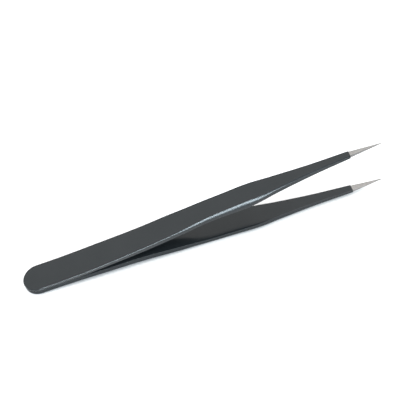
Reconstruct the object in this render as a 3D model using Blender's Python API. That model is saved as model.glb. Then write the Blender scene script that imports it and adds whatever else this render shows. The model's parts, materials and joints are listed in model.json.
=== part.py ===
"""Straight fine-point tweezers, lying on one arm and open at rest.

Two tapered spring-steel blades are spot-welded face to face at the rounded tail. A thin black
coating covers each blade from the tail to 11 mm short of its needle tip. Both arms are leaf
springs: each one is cut at its flex line, and swings there about a line across the blade.

The model is drawn with X along the tool from the tail, Y across the blades and Z across the gap,
mirrored about Z = 0. One empty then lays it on the outer face of the lower arm.
"""

import math

import bmesh
import bpy
import numpy as np
from mathutils import Matrix

MM = 0.001

# Driving dimensions, in millimetres, over the coating
LENGTH = 125.0
COAT_END = 114.0
TAIL_RADIUS = 5.1
FLEX_LINE = 34.0
BELLY_START = 65.0
BELLY_END = 77.0
TAIL_HEIGHT = 1.2
BELLY_HEIGHT = 6.6
TIP_HEIGHT = 9.15
COAT_THICKNESS = 0.15
COAT_FIT = 0.02  # clearance between the steel and the coating
SEAM = 0.03  # half the gap between the two arms at the tail
CUT_GAP = 0.14  # gap between the tail half and the swinging half of each piece
ARM_SPLIT = 16.0  # where the arms part
OPENING_LENGTH = 6.0  # over which the coating comes to cover the inner faces too

# The lower arm rests on its tail edge and on the flat belly behind the grip.
REST_SLOPE = (BELLY_HEIGHT - TAIL_HEIGHT) / BELLY_START
REST_ANGLE = math.atan(REST_SLOPE)
BELLY_MIDDLE = (BELLY_START + BELLY_END) / 2
BELLY_MIDDLE_HEIGHT = TAIL_HEIGHT + REST_SLOPE * BELLY_MIDDLE
BELLY_END_HEIGHT = TAIL_HEIGHT + REST_SLOPE * BELLY_END

# Half width across the blade, and the heights of its outer and inner faces above Z = 0
WIDTH_STATIONS = (
    (TAIL_RADIUS, TAIL_RADIUS), (20, 5.05), (40, 4.65), (54, 4.42), (65, 4.15), (77, 4.33), (88, 3.08),
    (102, 1.82), (COAT_END, 1.3),
)
OUTER_STATIONS = (
    (0, TAIL_HEIGHT), (10, 1.25), (18, 1.5), (28, 2.15), (40, 3.15), (54, 4.95),
    (BELLY_START, BELLY_HEIGHT), (BELLY_MIDDLE, BELLY_MIDDLE_HEIGHT), (BELLY_END, BELLY_END_HEIGHT),
    (88, 8.15), (102, 9.0), (COAT_END, 9.6),
)
INNER_STATIONS = (
    (0, SEAM), (ARM_SPLIT, SEAM), (24, 0.4), (40, 1.35), (54, 3.1), (65, 4.6), (77, 5.15), (88, 6.0),
    (102, 7.2), (COAT_END, 8.3),
)
# The ground facet on each outer edge: how far it cuts in from the side, and down from the outer face
FACET_IN_STATIONS = (
    (0, 0.17), (50, 0.17), (58, 0.4), (65, 0.55), (77, 0.8), (84, 0.5), (90, 0.36), (102, 0.33),
    (COAT_END, 0.28),
)
FACET_DOWN_STATIONS = (
    (0, 0.22), (50, 0.22), (58, 0.52), (65, 0.72), (77, 1.1), (84, 0.62), (90, 0.42), (102, 0.36),
    (COAT_END, 0.3),
)
# How far the side leans in from the facet to the inner face
DRAFT_STATIONS = ((0, 0.25), (30, 0.3), (54, 0.12), (65, 0.04), (COAT_END, 0.02))

# The bare needle tip: its half width and half thickness at the very end
TIP_HALF_WIDTH = 0.14
TIP_HALF_THICKNESS = 0.12
TIP_FACET = 0.05
TIP_DRAFT = 0.02

# Spot welds between the blades: lens-shaped nuggets
WELD_PLACES = (("spot_weld_rear", 7.0), ("spot_weld_front", 14.0))
WELD_RADIUS = 1.6
WELD_HALF_HEIGHT = 0.35
WELD_FIT = 0.04

COAT_COLOUR = (0.055, 0.060, 0.062, 1.0)
STEEL_COLOUR = (0.62, 0.62, 0.60, 1.0)
WELD_COLOUR = (0.42, 0.40, 0.38, 1.0)


def smooth_through(stations):
    """A curve through a few stations that never swings past them (monotone cubic)."""
    x, y = np.array(stations, float).T
    secant = np.diff(y) / np.diff(x)
    slope = np.concatenate(([secant[0]], np.zeros(len(x) - 2), [secant[-1]]))
    same_way = secant[:-1] * secant[1:] > 0
    pair = np.where(same_way, secant[:-1] * secant[1:], 0) * 2
    slope[1:-1] = pair / np.where(same_way, secant[:-1] + secant[1:], 1)

    def height(at):
        i = int(np.clip(np.searchsorted(x, at) - 1, 0, len(x) - 2))
        span = x[i + 1] - x[i]
        u = (at - x[i]) / span
        start = y[i] * (1 + 2 * u) * (1 - u) ** 2 + slope[i] * span * u * (1 - u) ** 2
        end = y[i + 1] * (3 - 2 * u) * u**2 - slope[i + 1] * span * (1 - u) * u**2
        return start + end

    return height


HALF_WIDTH = smooth_through(WIDTH_STATIONS)
OUTER = smooth_through(OUTER_STATIONS)
INNER = smooth_through(INNER_STATIONS)
FACET_IN = smooth_through(FACET_IN_STATIONS)
FACET_DOWN = smooth_through(FACET_DOWN_STATIONS)
DRAFT = smooth_through(DRAFT_STATIONS)
FLEX_HEIGHT = (OUTER(FLEX_LINE) + INNER(FLEX_LINE)) / 2

# Limits that keep every section whole where the blade is narrow
LEAST_FACET = 0.03
MOST_FACET_SHARE = 0.9
MOST_DRAFT_SHARE = 0.3

STATION_STEP = 3.0
TIP_STATIONS = 9
TAIL_TURNS = 9
CLOSEST_STATIONS = 0.3


def plan_half_width(x, inset):
    """The half width at x of the outline moved in by inset, with its rounded tail."""
    if x >= TAIL_RADIUS:
        return HALF_WIDTH(x) - inset
    radius = TAIL_RADIUS - inset
    return math.sqrt(max(radius**2 - (TAIL_RADIUS - x) ** 2, 0.0))


def covered_section(x, inset):
    """The outline at x, moved in by inset: half width, facet in, outer, facet down, draft, inner."""
    corner = inset * (2 - math.sqrt(2))
    half = plan_half_width(x, inset)
    facet_in = min(max(FACET_IN(x) - corner, LEAST_FACET), MOST_FACET_SHARE * half)
    facet_down = max(FACET_DOWN(x) - corner, LEAST_FACET)
    draft = min(DRAFT(x), MOST_DRAFT_SHARE * half)
    opened = min(max((x - ARM_SPLIT) / OPENING_LENGTH, 0.0), 1.0)
    return half, facet_in, OUTER(x) - inset, facet_down, draft, INNER(x) + inset * opened


def tip_section(x):
    """The bare steel's outline at x, which runs straight from the end of the coating to the point."""
    start = covered_section(COAT_END, COAT_THICKNESS + COAT_FIT)
    outer_end = TIP_HEIGHT + TIP_HALF_THICKNESS
    inner_end = TIP_HEIGHT - TIP_HALF_THICKNESS
    end = (TIP_HALF_WIDTH, TIP_FACET, outer_end, TIP_FACET, TIP_DRAFT, inner_end)
    share = (x - COAT_END) / (LENGTH - COAT_END)
    return tuple(a + (b - a) * share for a, b in zip(start, end))


def ring(x, section, side):
    """The six corners of a section at x. Side is 1 on the upper arm and -1 on the lower one."""
    half, facet_in, outer, facet_down, draft, inner = section
    corners = (
        (half - facet_in, outer), (facet_in - half, outer), (-half, outer - facet_down),
        (draft - half, inner), (half - draft, inner), (half, outer - facet_down),
    )
    return [(x * MM, y * MM, side * z * MM) for y, z in corners]


def stations(start, end, inset):
    """Section places between start and end: close round the tail, none along the flat belly."""
    turns = np.linspace(0, math.pi / 2, TAIL_TURNS + 1)[1:]
    tail = TAIL_RADIUS - (TAIL_RADIUS - inset) * np.cos(turns)
    places = [*tail, *np.arange(8, BELLY_START - 1, STATION_STEP), BELLY_START, BELLY_END]
    places += list(np.linspace(BELLY_END, COAT_END, TIP_STATIONS)[1:])
    inside = [x for x in places if start + CLOSEST_STATIONS < x < end - CLOSEST_STATIONS]
    first = tail[0] if start <= 0 else start
    return [first, *[x for x in inside if x > first], end]


def loft(name, rings):
    """A closed mesh through the rings, capped at both ends."""
    bm = bmesh.new()
    loops = [[bm.verts.new(corner) for corner in corners] for corners in rings]
    count = len(loops[0])
    for near, far in zip(loops, loops[1:]):
        for i in range(count):
            j = (i + 1) % count
            bm.faces.new((near[i], near[j], far[j], far[i]))
    bm.faces.new(loops[0])
    bm.faces.new(loops[-1])
    bmesh.ops.recalc_face_normals(bm, faces=bm.faces)
    mesh = bpy.data.meshes.new(name)
    bm.to_mesh(mesh)
    bm.free()
    return mesh


def lens(name, radius, half_height):
    """A flattened ball, as a weld nugget has."""
    bm = bmesh.new()
    bmesh.ops.create_uvsphere(bm, u_segments=24, v_segments=10, radius=radius * MM)
    bmesh.ops.scale(bm, vec=(1, 1, half_height / radius), verts=bm.verts)
    mesh = bpy.data.meshes.new(name)
    bm.to_mesh(mesh)
    bm.free()
    return mesh


def material(name, colour, roughness, metallic):
    made = bpy.data.materials.new(name)
    made.use_nodes = True
    shader = made.node_tree.nodes["Principled BSDF"]
    shader.inputs["Base Color"].default_value = colour
    shader.inputs["Roughness"].default_value = roughness
    shader.inputs["Metallic"].default_value = metallic
    return made


def collection(name):
    made = bpy.data.collections.new(name)
    bpy.context.scene.collection.children.link(made)
    return made


def place(mesh, into, parent, origin=(0, 0, 0)):
    """An object for the mesh, whose origin is at the given point of the parent's frame."""
    where = [value * MM for value in origin]
    mesh.transform(Matrix.Translation([-value for value in where]))
    obj = bpy.data.objects.new(mesh.name, mesh)
    into.objects.link(obj)
    obj.parent = parent
    obj.location = where
    return obj


def cutter(mesh, helpers, parent):
    obj = place(mesh, helpers, parent)
    obj.hide_render = True
    obj.display_type = "WIRE"
    return obj


def cut(target, tool):
    boolean = target.modifiers.new("cut_" + tool.name, "BOOLEAN")
    boolean.object = tool
    boolean.operation = "DIFFERENCE"
    boolean.solver = "EXACT"


def blade_rings(start, end, inset, side):
    """The sections of one blade, or of the coating's outside when inset is 0, from start to end."""
    places = stations(start, min(end, COAT_END), inset)
    rings = [ring(x, covered_section(x, inset), side) for x in places]
    if end > COAT_END:
        middle = (COAT_END + end) / 2
        rings += [ring(x, tip_section(x), side) for x in (middle, end)]
    return rings


def hollow_rings(start, end, side):
    """The room that the coating leaves for the blade. It breaks through the seam where the arms meet."""
    rings = []
    for x in stations(start, end, COAT_THICKNESS):
        *outline, inner = covered_section(x, COAT_THICKNESS)
        floor = inner if x > ARM_SPLIT + OPENING_LENGTH else -SEAM
        rings.append(ring(x, (*outline, floor), side))
    return rings


def make_arm(label, side, parts, helpers, frame, steel, coat, pockets):
    """One blade and its coating, each in a tail half and a swinging half."""
    pivot = (FLEX_LINE, 0, side * FLEX_HEIGHT)
    root_end = FLEX_LINE - CUT_GAP / 2
    arm_start = FLEX_LINE + CUT_GAP / 2
    steel_inset = COAT_THICKNESS + COAT_FIT

    def piece(name, rings, origin=(0, 0, 0)):
        return place(loft(f"{label}_{name}", rings), parts, frame, origin)

    root = piece("blade_root", blade_rings(0, root_end, steel_inset, side))
    arm = piece("blade_arm", blade_rings(arm_start, LENGTH, steel_inset, side), pivot)
    coat_root = piece("coating_root", blade_rings(0, root_end, 0, side))
    coat_arm = piece("coating_arm", blade_rings(arm_start, COAT_END, 0, side), pivot)

    root_room = loft(label + "_root_room", hollow_rings(0, root_end + 1, side))
    arm_room = loft(label + "_arm_room", hollow_rings(arm_start - 1, COAT_END + 1, side))
    cut(coat_root, cutter(root_room, helpers, frame))
    cut(coat_arm, cutter(arm_room, helpers, frame))
    for pocket in pockets:
        cut(root, pocket)
    for blade in (root, arm):
        blade.data.materials.append(steel)
    for skin in (coat_root, coat_arm):
        skin.data.materials.append(coat)


def make_frame(parts):
    """The empty that lays the tool on its lower arm, over the middle of its length."""
    frame = bpy.data.objects.new("tweezers_frame", None)
    parts.objects.link(frame)
    frame.location = (-LENGTH / 2 * MM, 0, TAIL_HEIGHT * math.cos(REST_ANGLE) * MM)
    frame.rotation_euler = (0, -REST_ANGLE, 0)
    return frame


def main():
    for obj in list(bpy.data.objects):
        bpy.data.objects.remove(obj)
    parts = collection("straight_fine_point_tweezers")
    helpers = collection("cutters")
    steel = material("spring_stainless_steel", STEEL_COLOUR, 0.32, 1.0)
    coat = material("black_epoxy_coating", COAT_COLOUR, 0.45, 0.0)
    weld = material("weld_metal", WELD_COLOUR, 0.5, 1.0)
    frame = make_frame(parts)

    pockets = []
    for name, x in WELD_PLACES:
        nugget = place(lens(name, WELD_RADIUS, WELD_HALF_HEIGHT), parts, frame)
        nugget.location.x = x * MM
        nugget.data.materials.append(weld)
        nugget.data.shade_smooth()
        room = lens(name + "_pocket", WELD_RADIUS + WELD_FIT, WELD_HALF_HEIGHT + WELD_FIT)
        pocket = cutter(room, helpers, frame)
        pocket.location.x = x * MM
        pockets.append(pocket)

    for label, side in (("upper", 1), ("lower", -1)):
        make_arm(label, side, parts, helpers, frame, steel, coat, pockets)


main()
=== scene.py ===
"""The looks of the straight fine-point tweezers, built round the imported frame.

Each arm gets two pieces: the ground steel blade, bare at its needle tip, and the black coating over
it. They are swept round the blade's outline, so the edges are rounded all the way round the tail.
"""

import json
import math

import bmesh
import bpy
import numpy as np
from mathutils import Matrix, Vector


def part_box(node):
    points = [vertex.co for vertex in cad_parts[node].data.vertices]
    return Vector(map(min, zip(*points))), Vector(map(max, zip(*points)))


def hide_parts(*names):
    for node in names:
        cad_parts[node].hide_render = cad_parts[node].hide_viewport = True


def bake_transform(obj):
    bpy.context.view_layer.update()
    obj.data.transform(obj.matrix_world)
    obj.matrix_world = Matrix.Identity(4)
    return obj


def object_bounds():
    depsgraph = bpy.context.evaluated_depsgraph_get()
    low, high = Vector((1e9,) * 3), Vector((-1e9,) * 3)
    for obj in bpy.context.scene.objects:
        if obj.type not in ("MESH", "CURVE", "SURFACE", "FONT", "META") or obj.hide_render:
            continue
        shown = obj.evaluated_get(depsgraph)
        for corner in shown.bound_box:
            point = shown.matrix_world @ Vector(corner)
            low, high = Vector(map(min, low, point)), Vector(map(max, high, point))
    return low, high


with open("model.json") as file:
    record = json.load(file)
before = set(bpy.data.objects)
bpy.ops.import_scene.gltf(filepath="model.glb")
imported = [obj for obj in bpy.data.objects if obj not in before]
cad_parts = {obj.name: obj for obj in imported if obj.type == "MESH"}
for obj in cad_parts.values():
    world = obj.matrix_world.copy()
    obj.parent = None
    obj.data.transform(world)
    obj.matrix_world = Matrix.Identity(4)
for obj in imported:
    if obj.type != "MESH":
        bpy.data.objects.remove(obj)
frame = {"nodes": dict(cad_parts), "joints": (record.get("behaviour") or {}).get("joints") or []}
CAD_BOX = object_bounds()

MM = 0.001

# Sizes of the arms in millimetres, over the coating, along the tool from the tail
LENGTH = 125.0
COAT_END = 114.0
TAIL_RADIUS = 5.1
FLEX_LINE = 34.0
BELLY_START = 65.0
BELLY_END = 77.0
TAIL_HEIGHT = 1.2
BELLY_HEIGHT = 6.6
TIP_HEIGHT = 9.15
COAT_THICKNESS = 0.15
COAT_FIT = 0.02
SEAM = 0.03
# The arms part at ARM_SPLIT. Over OPENING_LENGTH ahead of it, the skin on their inner faces grows
# from HIDDEN_SHARE of its thickness to all of it
ARM_SPLIT = 16.0
OPENING_LENGTH = 6.0
HIDDEN_SHARE = 0.2

REST_SLOPE = (BELLY_HEIGHT - TAIL_HEIGHT) / BELLY_START
BELLY_MIDDLE = (BELLY_START + BELLY_END) / 2

# Shapes of an arm, as (distance from the tail, measure) at a few stations
WIDTH_STATIONS = (
    (TAIL_RADIUS, TAIL_RADIUS), (20, 5.05), (40, 4.65), (54, 4.42), (65, 4.15), (77, 4.33),
    (88, 3.08), (102, 1.82), (COAT_END, 1.3),
)
OUTER_STATIONS = (
    (0, TAIL_HEIGHT), (10, 1.25), (18, 1.5), (28, 2.15), (40, 3.15), (54, 4.95),
    (BELLY_START, BELLY_HEIGHT), (BELLY_MIDDLE, TAIL_HEIGHT + REST_SLOPE * BELLY_MIDDLE),
    (BELLY_END, TAIL_HEIGHT + REST_SLOPE * BELLY_END), (88, 8.15), (102, 9.0), (COAT_END, 9.6),
)
INNER_STATIONS = (
    (0, SEAM), (ARM_SPLIT, SEAM), (24, 0.4), (40, 1.35), (54, 3.1), (65, 4.6), (77, 5.15),
    (88, 6.0), (102, 7.2), (COAT_END, 8.3),
)
FACET_IN_STATIONS = (
    (0, 0.17), (50, 0.17), (58, 0.4), (65, 0.55), (77, 0.8), (84, 0.5), (90, 0.36), (102, 0.33),
    (COAT_END, 0.28),
)
FACET_DOWN_STATIONS = (
    (0, 0.22), (50, 0.22), (58, 0.52), (65, 0.72), (77, 1.1), (84, 0.62), (90, 0.42), (102, 0.36),
    (COAT_END, 0.3),
)
# How far the side leans in from the facet to the inner face
DRAFT_STATIONS = ((0, 0.25), (30, 0.3), (54, 0.12), (65, 0.04), (COAT_END, 0.02))

# The bare needle tip at its very end
TIP_HALF_WIDTH = 0.14
TIP_HALF_THICKNESS = 0.12
TIP_FACET = 0.05

# Corner radii: the coating softens its edges, and the ground steel is crisper
COAT_CORNER = 0.08
STEEL_CORNER = 0.05
LEAST_FACET = 0.06
# The most that a draft may take of the half width, and a corner of the run beside it
MOST_DRAFT_SHARE = 0.3
MOST_CORNER_SHARE = 0.46

# The front lip of the coating: where its last stops stand back from the end, and how far they go in
LIP_PLACES = (0.08, 0.03, 0.0)
LIP_INSETS = (0.0, 0.02, 0.06)

# How finely the meshes are cut
CORNER_STEPS = 4
FACE_STEPS = 5
SIDE_STEPS = 3
TAIL_STEPS = 28
TIP_STOPS = 28
STATION_STEP = 0.8

# In metres: points nearer than MERGE are welded, shorter edges than NO_LENGTH are dissolved, and
# neighbours nearer than SAME_POINT get no face
MERGE = 2e-6
NO_LENGTH = 1e-7
SAME_POINT = 1e-9
# A corner blunter than this is as good as straight, and a crease past this angle stays sharp
LEAST_TANGENT = 1e-6
SHARP_ANGLE = math.radians(40)

# The weld nuggets, and how many times their size the pockets round them are
WELDS = ("spot_weld_rear", "spot_weld_front")
WELD_POCKET_FIT = 1.03

# Linear colours, and pairs of values between which a noise moves
COLOUR_PLACES = (0.3, 0.7)
COAT_COLOURS = ((0.0128, 0.0162, 0.0184, 1), (0.0156, 0.0189, 0.0211, 1))
COAT_RUBBED = (0.075, 0.080, 0.083, 1)
COAT_ROUGHNESS = (0.14, 0.18)
COAT_ROUGHNESS_PLACES = (0.25, 0.75)
COAT_IOR = 1.33
STEEL_COLOURS = ((0.19, 0.187, 0.184, 1), (0.29, 0.287, 0.284, 1))
STEEL_ROUGHNESS = (0.18, 0.26)
SCRATCH_STRETCH = (1.0, 26.0, 26.0)
WELD_COLOURS = ((0.34, 0.31, 0.30, 1), (0.50, 0.46, 0.40, 1))
WELD_ROUGHNESS = 0.5
CARD_GREYS = (0.90, 0.93)
CARD_ROUGHNESS = 0.8

# Sockets of the Mix node's colour mode, which share their names with its other modes
MIX_COLOUR_A = 6
MIX_COLOUR_B = 7
MIX_COLOUR_OUT = 2

# The camera looks down on the tool from its near side, turned a little in its own plane
CAMERA_AZIMUTH = math.radians(-9.21)
CAMERA_ELEVATION = math.radians(49.94)
CAMERA_ROLL = math.radians(-8.82)
CAMERA_DISTANCE = 0.2918
CAMERA_LENS = 79.4
CAMERA_SENSOR = 36.0
CAMERA_NEAR = 0.01
CAMERA_AIM = Vector((0.0004, 0.00571, 0.01121))

# The floor lies a hair below the tool, so that no face of the two shares a plane
FLOOR_SIZE = 3.0
FLOOR_SEGMENTS = 8
FLOOR_DROP = 0.00002
WORLD_STRENGTH = 0.55

# Azimuth and elevation in degrees, distance and size in metres, power in watts, and colour
SOFT_BOXES = {
    "overhead": (0, 86, 0.9, (1.15, 1.15), 11.0, (1.0, 1.0, 1.0)),
    "far_fill": (166, 48, 0.9, (1.1, 0.5), 2.2, (1.0, 0.98, 0.95)),
    "front_strip": (-2, 24, 0.8, (0.52, 0.06), 4.9, (0.78, 0.91, 1.0)),
}


def smooth_through(stations):
    """A curve through a few stations that never swings past them (monotone cubic)."""
    x, y = np.array(stations, float).T
    secant = np.diff(y) / np.diff(x)
    slope = np.concatenate(([secant[0]], np.zeros(len(x) - 2), [secant[-1]]))
    same_way = secant[:-1] * secant[1:] > 0
    pair = np.where(same_way, secant[:-1] * secant[1:], 0) * 2
    slope[1:-1] = pair / np.where(same_way, secant[:-1] + secant[1:], 1)

    def height(at):
        i = int(np.clip(np.searchsorted(x, at) - 1, 0, len(x) - 2))
        span = x[i + 1] - x[i]
        u = (at - x[i]) / span
        start = y[i] * (1 + 2 * u) * (1 - u) ** 2 + slope[i] * span * u * (1 - u) ** 2
        end = y[i + 1] * (3 - 2 * u) * u**2 - slope[i + 1] * span * (1 - u) * u**2
        return start + end

    return height


HALF_WIDTH = smooth_through(WIDTH_STATIONS)
OUTER = smooth_through(OUTER_STATIONS)
INNER = smooth_through(INNER_STATIONS)
FACET_IN = smooth_through(FACET_IN_STATIONS)
FACET_DOWN = smooth_through(FACET_DOWN_STATIONS)
DRAFT = smooth_through(DRAFT_STATIONS)


def opened(x):
    """The share of an inset that the inner face gets: a trace where the arms meet, then 1."""
    return min(max((x - ARM_SPLIT) / OPENING_LENGTH, HIDDEN_SHARE), 1.0)


def section(x, inset):
    """The outline at x, moved in: half width, facet in, outer, facet down, inner."""
    corner = inset * (2 - math.sqrt(2))
    return np.array((
        HALF_WIDTH(max(x, TAIL_RADIUS)) - inset,
        max(FACET_IN(x) - corner, LEAST_FACET),
        OUTER(x) - inset,
        max(FACET_DOWN(x) - corner, LEAST_FACET),
        INNER(x) + inset * opened(x),
    ))


def blade_section(x, inset):
    """As section, and on to the needle point, which runs straight from the end of the coating."""
    if x <= COAT_END:
        return section(x, inset)
    start = section(COAT_END, inset)
    end = np.array((
        TIP_HALF_WIDTH,
        TIP_FACET,
        TIP_HEIGHT + TIP_HALF_THICKNESS,
        TIP_FACET,
        TIP_HEIGHT - TIP_HALF_THICKNESS,
    ))
    return start + (end - start) * (x - COAT_END) / (LENGTH - COAT_END)


def rounded(corners, radius, steps):
    """A polyline with each inner corner turned into an arc, as (points, how far on an arc)."""
    points, on_arc = [corners[0]], [0.0]
    for before, corner, after in zip(corners, corners[1:], corners[2:]):
        back, ahead = before - corner, after - corner
        lengths = np.linalg.norm(back), np.linalg.norm(ahead)
        back, ahead = back / lengths[0], ahead / lengths[1]
        half_turn = math.acos(np.clip(back @ ahead, -1, 1)) / 2
        wanted = radius / max(math.tan(half_turn), LEAST_TANGENT)
        reach = min(wanted, MOST_CORNER_SHARE * min(lengths))
        for i in range(steps + 1):
            u = i / steps
            first, last = corner + back * reach, corner + ahead * reach
            points.append(first * (1 - u) ** 2 + corner * 2 * u * (1 - u) + last * u**2)
            on_arc.append(math.sin(math.pi * u))
    return [*points, corners[-1]], [*on_arc, 0.0]


def split(points, marks, first, steps):
    """Cuts the straight run after point number first into steps pieces."""
    start, end = points[first], points[first + 1]
    extra = [start + (end - start) * i / steps for i in range(1, steps)]
    points[first + 1:first + 1] = extra
    marks[first + 1:first + 1] = [0.0] * len(extra)


def profile(x, inset, radius, shape):
    """Half a section as (distance in from the edge, height) points, outer face to inner face."""
    half, facet_in, outer, facet_down, inner = shape(x, inset)
    draft = min(DRAFT(min(x, COAT_END)), MOST_DRAFT_SHARE * half)
    corners = [np.array(c) for c in (
        (half, outer), (facet_in, outer), (0.0, outer - facet_down), (draft, inner), (half, inner),
    )]
    points, marks = rounded(corners, radius, CORNER_STEPS)
    split(points, marks, len(points) - 2, FACE_STEPS)
    split(points, marks, 2 * (CORNER_STEPS + 1), SIDE_STEPS)
    split(points, marks, 0, FACE_STEPS)
    return points, marks


def half_outline(inset, places):
    """Stops along one edge from the tail: (edge x, edge y, inward x, inward y)."""
    stops = []
    reach = TAIL_RADIUS - inset
    for turn in np.linspace(0, math.pi / 2, TAIL_STEPS, endpoint=False):
        along, across = math.cos(turn), math.sin(turn)
        stops.append((TAIL_RADIUS - reach * along, reach * across, along, -across))
    return stops + [(x, None, 0.0, -1.0) for x in places]


def swept_surface(bm, places, inset, radius, side, shape=section, end_insets=()):
    """Sweeps the profile round the outline, and returns the open ring of points at the front.

    End_insets shrinks the last few stops a little, which rounds the front lip.
    """
    mark_layer = bm.verts.layers.float.get("edge_wear") or bm.verts.layers.float.new("edge_wear")
    stops = half_outline(inset, places)
    shrink = [0.0] * (len(stops) - len(end_insets)) + list(end_insets)
    rows = {}
    for hand in (1, -1):
        for number, (stop, extra) in enumerate(zip(stops, shrink)):
            edge_x, edge_y, in_x, in_y = stop
            points, marks = profile(edge_x, inset + extra, radius, shape)
            if edge_y is None:
                edge_y = shape(edge_x, inset + extra)[0]
            row = []
            for (distance, height), mark in zip(points, marks):
                if in_x and distance > 0:
                    distance *= (TAIL_RADIUS - inset) / points[0][0]
                x = edge_x + in_x * distance
                y = edge_y + in_y * distance
                vert = bm.verts.new((x * MM, hand * y * MM, side * height * MM))
                vert[mark_layer] = mark
                row.append(vert)
            rows[hand, number] = row
    for hand in (1, -1):
        for number in range(len(stops) - 1):
            near, far = rows[hand, number], rows[hand, number + 1]
            for i in range(len(near) - 1):
                corners = (near[i], near[i + 1], far[i + 1], far[i])
                bm.faces.new(corners if hand == side else corners[::-1])
    last = len(stops) - 1
    return rows[1, last] + rows[-1, last][::-1]


def bridge(bm, ring_a, ring_b):
    """Quads between two rings of the same count."""
    count = len(ring_a)
    for i in range(count):
        j = (i + 1) % count
        corners = (ring_a[i], ring_a[j], ring_b[j], ring_b[i])
        if len({tuple(v.co) for v in corners}) > 2:
            bm.faces.new(corners)


def finished_mesh(bm, name, world):
    """Welds the points that the two hands share, turns the faces out and moves to the row frame."""
    bmesh.ops.remove_doubles(bm, verts=bm.verts, dist=MERGE)
    bmesh.ops.dissolve_degenerate(bm, edges=bm.edges, dist=NO_LENGTH)
    bmesh.ops.recalc_face_normals(bm, faces=bm.faces)
    bm.transform(world)
    mesh = bpy.data.meshes.new(name)
    bm.to_mesh(mesh)
    bm.free()
    mesh.shade_smooth()
    mesh.set_sharp_from_angle(angle=SHARP_ANGLE)
    obj = bpy.data.objects.new(name, mesh)
    bpy.context.scene.collection.objects.link(obj)
    return obj


def places_to(end):
    """Even places along the tool, from where the round tail ends to the given one."""
    count = round((end - TAIL_RADIUS) / STATION_STEP)
    return list(np.linspace(TAIL_RADIUS, end, count + 1))


def make_coating(name, side, world):
    """The coating of one arm: a thin skin round the blade, open at the tip with a rounded lip."""
    bm = bmesh.new()
    lip = [COAT_END - back for back in LIP_PLACES]
    outside = places_to(lip[0]) + lip[1:]
    outer_ring = swept_surface(bm, outside, 0.0, COAT_CORNER, side, end_insets=LIP_INSETS)
    inner_ring = swept_surface(bm, places_to(COAT_END), COAT_THICKNESS, STEEL_CORNER, side)
    bridge(bm, outer_ring, inner_ring)
    return finished_mesh(bm, name, world)


def make_blade(name, side, world):
    """One steel blade, from the tail inside the coating to its bare needle point."""
    bm = bmesh.new()
    inset = COAT_THICKNESS + COAT_FIT
    places = places_to(COAT_END) + list(np.linspace(COAT_END, LENGTH, TIP_STOPS)[1:])
    ring = swept_surface(bm, places, inset, STEEL_CORNER, side, shape=blade_section)
    centre = bm.verts.new((LENGTH * MM, 0, side * TIP_HEIGHT * MM))
    for i, vert in enumerate(ring):
        after = ring[(i + 1) % len(ring)]
        if (vert.co - after.co).length > SAME_POINT:
            bm.faces.new((vert, after, centre))
    return finished_mesh(bm, name, world)


def cut_weld_pockets(piece):
    """Leaves room in a piece for the weld nuggets."""
    for node in WELDS:
        low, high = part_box(node)
        middle = (low + high) / 2
        mesh = frame["nodes"][node].data.copy()
        grown = Matrix.Scale(WELD_POCKET_FIT, 4)
        mesh.transform(Matrix.Translation(middle) @ grown @ Matrix.Translation(-middle))
        tool = bpy.data.objects.new("pocket_tool", mesh)
        bpy.context.scene.collection.objects.link(tool)
        boolean = piece.modifiers.new("pocket", "BOOLEAN")
        boolean.object = tool
        boolean.operation = "DIFFERENCE"
        boolean.solver = "EXACT"
        cut = piece.evaluated_get(bpy.context.evaluated_depsgraph_get())
        made = bpy.data.meshes.new_from_object(cut)
        piece.modifiers.clear()
        piece.data = made
        bpy.data.objects.remove(tool)


def node_material(name):
    """A material with nodes, as (material, its node tree, its Principled shader)."""
    made = bpy.data.materials.new(name)
    made.use_nodes = True
    return made, made.node_tree, made.node_tree.nodes["Principled BSDF"]


def add(tree, kind, **settings):
    """A shader node. Settings name its properties, and inputs by their label with _ for a space."""
    node = tree.nodes.new(kind)
    for key, value in settings.items():
        if hasattr(node, key):
            setattr(node, key, value)
        else:
            node.inputs[key.replace("_", " ")].default_value = value
    return node


def ramp(tree, source, places, colours):
    """A colour ramp over source, between two colours at two places."""
    node = tree.nodes.new("ShaderNodeValToRGB")
    for element, place, colour in zip(node.color_ramp.elements, places, colours):
        element.position = place
        element.color = colour
    tree.links.new(source, node.inputs["Fac"])
    return node.outputs["Color"]


def greys(values):
    return [(value, value, value, 1) for value in values]


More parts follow.
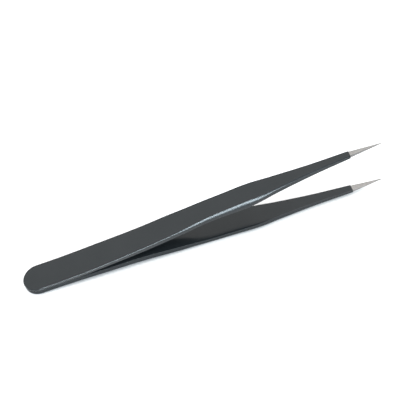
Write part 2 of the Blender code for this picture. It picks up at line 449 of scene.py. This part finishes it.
def coating_material():
    """Satin black epoxy: a fine orange peel, faint handling marks and slightly rubbed edges."""
    made, tree, shader = node_material("black_epoxy_coating")
    place = add(tree, "ShaderNodeTexCoord")
    broad = add(tree, "ShaderNodeTexNoise", Scale=90.0, Detail=3.0, Roughness=0.55)
    peel = add(tree, "ShaderNodeTexNoise", Scale=1900.0, Detail=2.0, Roughness=0.5)
    fine = add(tree, "ShaderNodeTexNoise", Scale=7000.0, Detail=1.0, Roughness=0.6)
    for noise in (broad, peel, fine):
        tree.links.new(place.outputs["Object"], noise.inputs["Vector"])
    wear = add(tree, "ShaderNodeAttribute", attribute_name="edge_wear")
    rubbed = add(tree, "ShaderNodeMath", operation="MULTIPLY")
    tree.links.new(wear.outputs["Fac"], rubbed.inputs[0])
    tree.links.new(peel.outputs["Fac"], rubbed.inputs[1])
    base = ramp(tree, broad.outputs["Fac"], COLOUR_PLACES, COAT_COLOURS)
    mix = add(tree, "ShaderNodeMix", data_type="RGBA")
    tree.links.new(rubbed.outputs["Value"], mix.inputs["Factor"])
    tree.links.new(base, mix.inputs[MIX_COLOUR_A])
    mix.inputs[MIX_COLOUR_B].default_value = COAT_RUBBED
    tree.links.new(mix.outputs[MIX_COLOUR_OUT], shader.inputs["Base Color"])
    rough = ramp(tree, broad.outputs["Fac"], COAT_ROUGHNESS_PLACES, greys(COAT_ROUGHNESS))
    tree.links.new(rough, shader.inputs["Roughness"])
    low = add(tree, "ShaderNodeBump", Strength=0.35, Distance=0.000012)
    high = add(tree, "ShaderNodeBump", Strength=0.3, Distance=0.000004)
    tree.links.new(peel.outputs["Fac"], low.inputs["Height"])
    tree.links.new(fine.outputs["Fac"], high.inputs["Height"])
    tree.links.new(low.outputs["Normal"], high.inputs["Normal"])
    tree.links.new(high.outputs["Normal"], shader.inputs["Normal"])
    shader.inputs["IOR"].default_value = COAT_IOR
    return made


def steel_material():
    """Stainless steel ground along the blade: long fine scratches and a soft sheen."""
    made, tree, shader = node_material("ground_stainless_steel")
    place = add(tree, "ShaderNodeTexCoord")
    stretch = add(tree, "ShaderNodeMapping")
    stretch.inputs["Scale"].default_value = SCRATCH_STRETCH
    tree.links.new(place.outputs["Object"], stretch.inputs["Vector"])
    scratch = add(tree, "ShaderNodeTexNoise", Scale=420.0, Detail=5.0, Roughness=0.65)
    tree.links.new(stretch.outputs["Vector"], scratch.inputs["Vector"])
    cloud = add(tree, "ShaderNodeTexNoise", Scale=500.0, Detail=2.0)
    tree.links.new(place.outputs["Object"], cloud.inputs["Vector"])
    colour = ramp(tree, scratch.outputs["Fac"], COLOUR_PLACES, STEEL_COLOURS)
    tree.links.new(colour, shader.inputs["Base Color"])
    rough = ramp(tree, cloud.outputs["Fac"], COLOUR_PLACES, greys(STEEL_ROUGHNESS))
    tree.links.new(rough, shader.inputs["Roughness"])
    bump = add(tree, "ShaderNodeBump", Strength=0.4, Distance=0.000005)
    tree.links.new(scratch.outputs["Fac"], bump.inputs["Height"])
    tree.links.new(bump.outputs["Normal"], shader.inputs["Normal"])
    shader.inputs["Metallic"].default_value = 1.0
    return made


def weld_material():
    """Fused metal: rougher than the ground steel, with a heat tint."""
    made, tree, shader = node_material("fused_weld_metal")
    place = add(tree, "ShaderNodeTexCoord")
    cloud = add(tree, "ShaderNodeTexNoise", Scale=1500.0, Detail=4.0)
    tree.links.new(place.outputs["Object"], cloud.inputs["Vector"])
    colour = ramp(tree, cloud.outputs["Fac"], COLOUR_PLACES, WELD_COLOURS)
    tree.links.new(colour, shader.inputs["Base Color"])
    bump = add(tree, "ShaderNodeBump", Strength=0.5, Distance=0.00002)
    tree.links.new(cloud.outputs["Fac"], bump.inputs["Height"])
    tree.links.new(bump.outputs["Normal"], shader.inputs["Normal"])
    shader.inputs["Metallic"].default_value = 1.0
    shader.inputs["Roughness"].default_value = WELD_ROUGHNESS
    return made


def floor_material():
    """Plain white card with a trace of unevenness."""
    made, tree, shader = node_material("white_card")
    place = add(tree, "ShaderNodeTexCoord")
    cloud = add(tree, "ShaderNodeTexNoise", Scale=8.0, Detail=3.0)
    tree.links.new(place.outputs["Object"], cloud.inputs["Vector"])
    colour = ramp(tree, cloud.outputs["Fac"], COLOUR_PLACES, greys(CARD_GREYS))
    tree.links.new(colour, shader.inputs["Base Color"])
    shader.inputs["Roughness"].default_value = CARD_ROUGHNESS
    return made


def tool_frame():
    """The matrix from the arms' own frame to the row frame, read from the two flex joints."""
    hinge = {joint["child"]: Vector(joint["pos_m"]) for joint in frame["joints"]}
    up = (hinge["upper_arm"] - hinge["lower_arm"]).normalized()
    across = Vector((0, 1, 0))
    along = across.cross(up)
    turn = Matrix((along, across, up)).transposed()
    middle = (hinge["upper_arm"] + hinge["lower_arm"]) / 2
    return Matrix.Translation(middle - along * FLEX_LINE * MM) @ turn.to_4x4()


def make_tweezers():
    """Builds both arms in the frame read from the flex joints, and gives the weld nuggets their
    metal.
    """
    world = tool_frame()
    steel, coat, weld = steel_material(), coating_material(), weld_material()
    for label, side in (("upper", 1), ("lower", -1)):
        coating = make_coating(label + "_coating", side, world)
        blade = make_blade(label + "_blade", side, world)
        cut_weld_pockets(coating)
        cut_weld_pockets(blade)
        for piece, finish, slot in ((coating, coat, "coating"), (blade, steel, "blade_steel")):
            piece.data.materials.clear()
            piece.data.materials.append(finish)
            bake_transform(piece)
            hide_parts(piece.name + "_root", piece.name + "_arm")
    for node in WELDS:
        nugget = frame["nodes"][node]
        nugget.data.materials.clear()
        nugget.data.materials.append(weld)
        nugget.data.shade_smooth()


def direction(azimuth, elevation):
    """The unit vector towards azimuth and elevation. Azimuth 0 is the near side."""
    flat = math.cos(elevation)
    return Vector((math.sin(azimuth) * flat, -math.cos(azimuth) * flat, math.sin(elevation)))


def make_camera():
    back = direction(CAMERA_AZIMUTH, CAMERA_ELEVATION)
    flat_right = Vector((math.cos(CAMERA_AZIMUTH), math.sin(CAMERA_AZIMUTH), 0))
    flat_up = back.cross(flat_right)
    right = flat_right * math.cos(CAMERA_ROLL) + flat_up * math.sin(CAMERA_ROLL)
    up = back.cross(right)
    data = bpy.data.cameras.new("camera")
    data.lens = CAMERA_LENS
    data.sensor_width = CAMERA_SENSOR
    data.clip_start = CAMERA_NEAR
    camera = bpy.data.objects.new("camera", data)
    bpy.context.scene.collection.objects.link(camera)
    turn = Matrix((right, up, back)).transposed()
    camera.matrix_world = Matrix.Translation(CAMERA_AIM + back * CAMERA_DISTANCE) @ turn.to_4x4()
    bpy.context.scene.camera = camera


def soft_light(name, azimuth, elevation, distance, size, power, colour):
    """A square or oblong soft box that faces the middle of the tool."""
    data = bpy.data.lights.new(name, "AREA")
    data.shape = "RECTANGLE"
    data.size, data.size_y = size
    data.energy = power
    data.color = colour
    light = bpy.data.objects.new(name, data)
    bpy.context.scene.collection.objects.link(light)
    towards = direction(math.radians(azimuth), math.radians(elevation))
    light.location = CAMERA_AIM + towards * distance
    light.rotation_mode = "QUATERNION"
    light.rotation_quaternion = towards.to_track_quat("Z", "Y")


def make_studio():
    """A white card floor, a white room and the soft boxes."""
    bm = bmesh.new()
    bmesh.ops.create_grid(
        bm, x_segments=FLOOR_SEGMENTS, y_segments=FLOOR_SEGMENTS, size=FLOOR_SIZE / 2)
    mesh = bpy.data.meshes.new("floor")
    bm.to_mesh(mesh)
    bm.free()
    floor = bpy.data.objects.new("floor", mesh)
    floor.location.z = CAD_BOX[0].z - FLOOR_DROP
    floor.data.materials.append(floor_material())
    bpy.context.scene.collection.objects.link(floor)

    world = bpy.data.worlds.new("white_room")
    world.use_nodes = True
    background = world.node_tree.nodes["Background"]
    background.inputs["Strength"].default_value = WORLD_STRENGTH
    background.inputs["Color"].default_value = (1, 1, 1, 1)
    bpy.context.scene.world = world

    for name, settings in SOFT_BOXES.items():
        soft_light(name, *settings)
    bpy.context.scene.view_settings.view_transform = "Standard"


make_tweezers()
make_camera()
make_studio()
